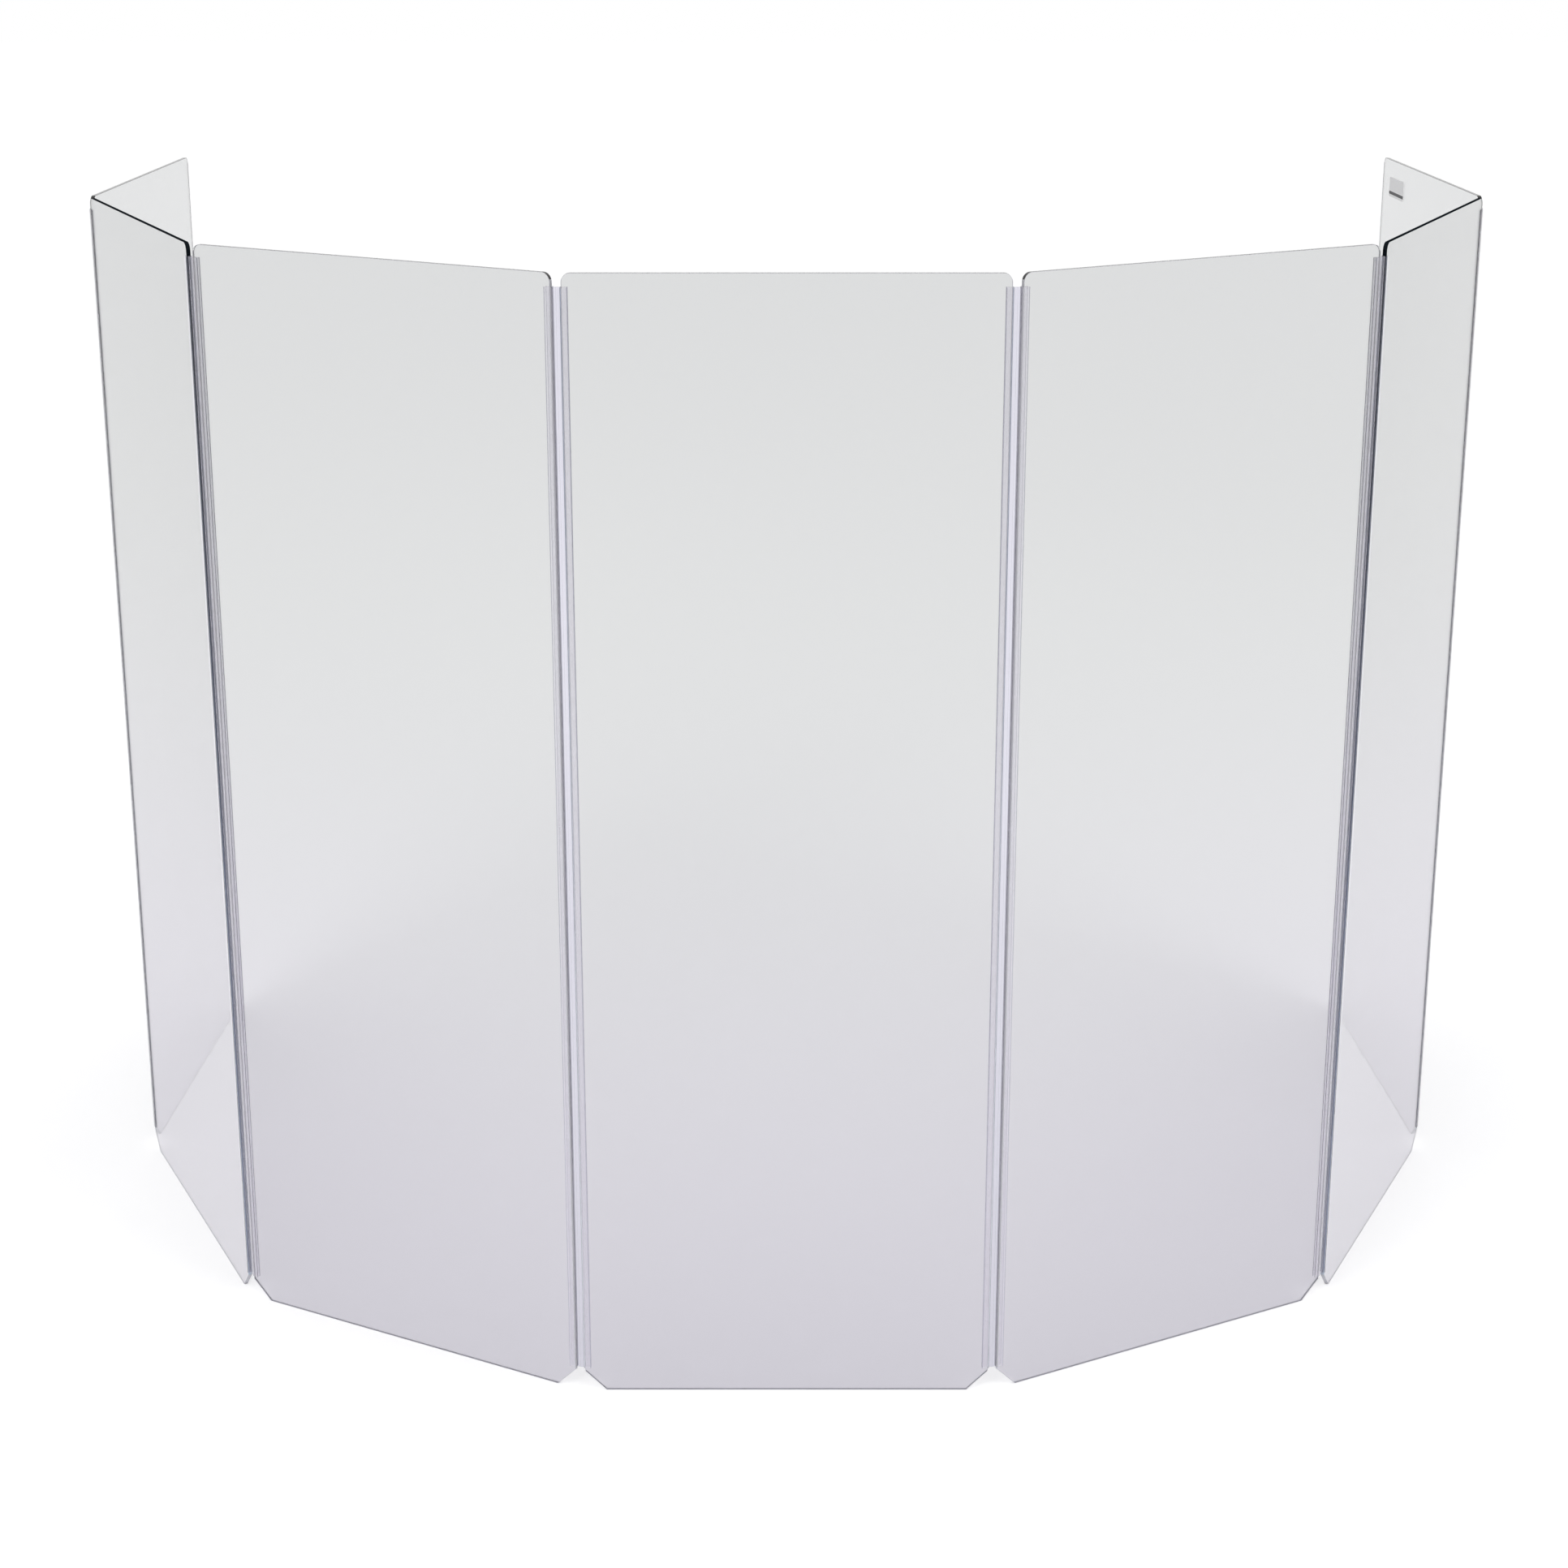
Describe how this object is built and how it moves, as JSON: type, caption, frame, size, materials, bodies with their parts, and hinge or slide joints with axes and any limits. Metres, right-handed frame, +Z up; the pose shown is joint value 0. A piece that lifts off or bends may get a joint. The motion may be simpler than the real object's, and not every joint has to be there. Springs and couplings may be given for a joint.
{
  "type": "drum shield",
  "caption": "Free-standing folding drum shield: clear acrylic panels in an arc, joined by full-height clear flexible hinges, with cable cut-outs at the foot.",
  "frame": {"origin": "middle of the middle panel's bottom edge, on the floor", "axes": "+Z up, +Y towards the drummer's side inside the arc, -Y towards the audience, +X to the right as the audience sees it"},
  "size_m": [2.2586, 1.4597, 1.6764],
  "materials": {
    "clear_acrylic": "clear cast sheet, polished",
    "stiff_clear_pvc": "clear extruded, slightly hazy",
    "soft_clear_pvc": "clear flexible extrusion, satin"
  },
  "bodies": {
    "section_1": {"panel_1": "clear_acrylic", "panel_1_right_channel": "stiff_clear_pvc"},
    "section_2": {"panel_2": "clear_acrylic", "panel_2_left_channel": "stiff_clear_pvc", "panel_2_right_channel": "stiff_clear_pvc"},
    "section_3": {"panel_3": "clear_acrylic", "panel_3_left_channel": "stiff_clear_pvc", "panel_3_right_channel": "stiff_clear_pvc"},
    "section_4": {"panel_4": "clear_acrylic", "panel_4_left_channel": "stiff_clear_pvc", "panel_4_right_channel": "stiff_clear_pvc"},
    "section_5": {"panel_5": "clear_acrylic", "panel_5_left_channel": "stiff_clear_pvc", "panel_5_right_channel": "stiff_clear_pvc"},
    "section_6": {"panel_6": "clear_acrylic", "panel_6_left_channel": "stiff_clear_pvc", "panel_6_right_channel": "stiff_clear_pvc"},
    "section_7": {"panel_7": "clear_acrylic", "panel_7_left_channel": "stiff_clear_pvc"},
    "flex_1_2": {"web_1_2": "soft_clear_pvc"},
    "flex_2_3": {"web_2_3": "soft_clear_pvc"},
    "flex_3_4": {"web_3_4": "soft_clear_pvc"},
    "flex_4_5": {"web_4_5": "soft_clear_pvc"},
    "flex_5_6": {"web_5_6": "soft_clear_pvc"},
    "flex_6_7": {"web_6_7": "soft_clear_pvc"}
  },
  "joints": [
    {"name": "hinge_4_5_at_4", "type": "hinge", "parent": "section_4", "child": "flex_4_5", "pos_m": [0.30402, 0, 0.8382], "axis": [0, 0, 1], "range_deg": [-104, 76]},
    {"name": "hinge_4_5_at_5", "type": "hinge", "parent": "flex_4_5", "child": "section_5", "pos_m": [0.31315, 0.00227, 0.8382], "axis": [0, 0, 1], "range_deg": [-104, 76]},
    {"name": "hinge_5_6_at_5", "type": "hinge", "parent": "section_5", "child": "flex_5_6", "pos_m": [0.85002, 0.28774, 0.8382], "axis": [0, 0, -1], "range_deg": [-72, 108]},
    {"name": "hinge_5_6_at_6", "type": "hinge", "parent": "flex_5_6", "child": "section_6", "pos_m": [0.85655, 0.2945, 0.8382], "axis": [0, 0, -1], "range_deg": [-72, 108]},
    {"name": "hinge_6_7_at_6", "type": "hinge", "parent": "section_6", "child": "flex_6_7", "pos_m": [1.1231, 0.84101, 0.8382], "axis": [0, 0, 1], "range_deg": [-104.5, 75.5]},
    {"name": "hinge_6_7_at_7", "type": "hinge", "parent": "flex_6_7", "child": "section_7", "pos_m": [1.12498, 0.85022, 0.8382], "axis": [0, 0, 1], "range_deg": [-104.5, 75.5]},
    {"name": "hinge_3_4_at_4", "type": "hinge", "parent": "section_4", "child": "flex_3_4", "pos_m": [-0.30402, 0, 0.8382], "axis": [0, 0, 1], "range_deg": [-76, 104]},
    {"name": "hinge_3_4_at_3", "type": "hinge", "parent": "flex_3_4", "child": "section_3", "pos_m": [-0.31315, 0.00227, 0.8382], "axis": [0, 0, 1], "range_deg": [-76, 104]},
    {"name": "hinge_2_3_at_3", "type": "hinge", "parent": "section_3", "child": "flex_2_3", "pos_m": [-0.85002, 0.28774, 0.8382], "axis": [0, 0, -1], "range_deg": [-108, 72]},
    {"name": "hinge_2_3_at_2", "type": "hinge", "parent": "flex_2_3", "child": "section_2", "pos_m": [-0.85655, 0.2945, 0.8382], "axis": [0, 0, -1], "range_deg": [-108, 72]},
    {"name": "hinge_1_2_at_2", "type": "hinge", "parent": "section_2", "child": "flex_1_2", "pos_m": [-1.1231, 0.84101, 0.8382], "axis": [0, 0, 1], "range_deg": [-75.5, 104.5]},
    {"name": "hinge_1_2_at_1", "type": "hinge", "parent": "flex_1_2", "child": "section_1", "pos_m": [-1.12498, 0.85022, 0.8382], "axis": [0, 0, 1], "range_deg": [-75.5, 104.5]}
  ]
}
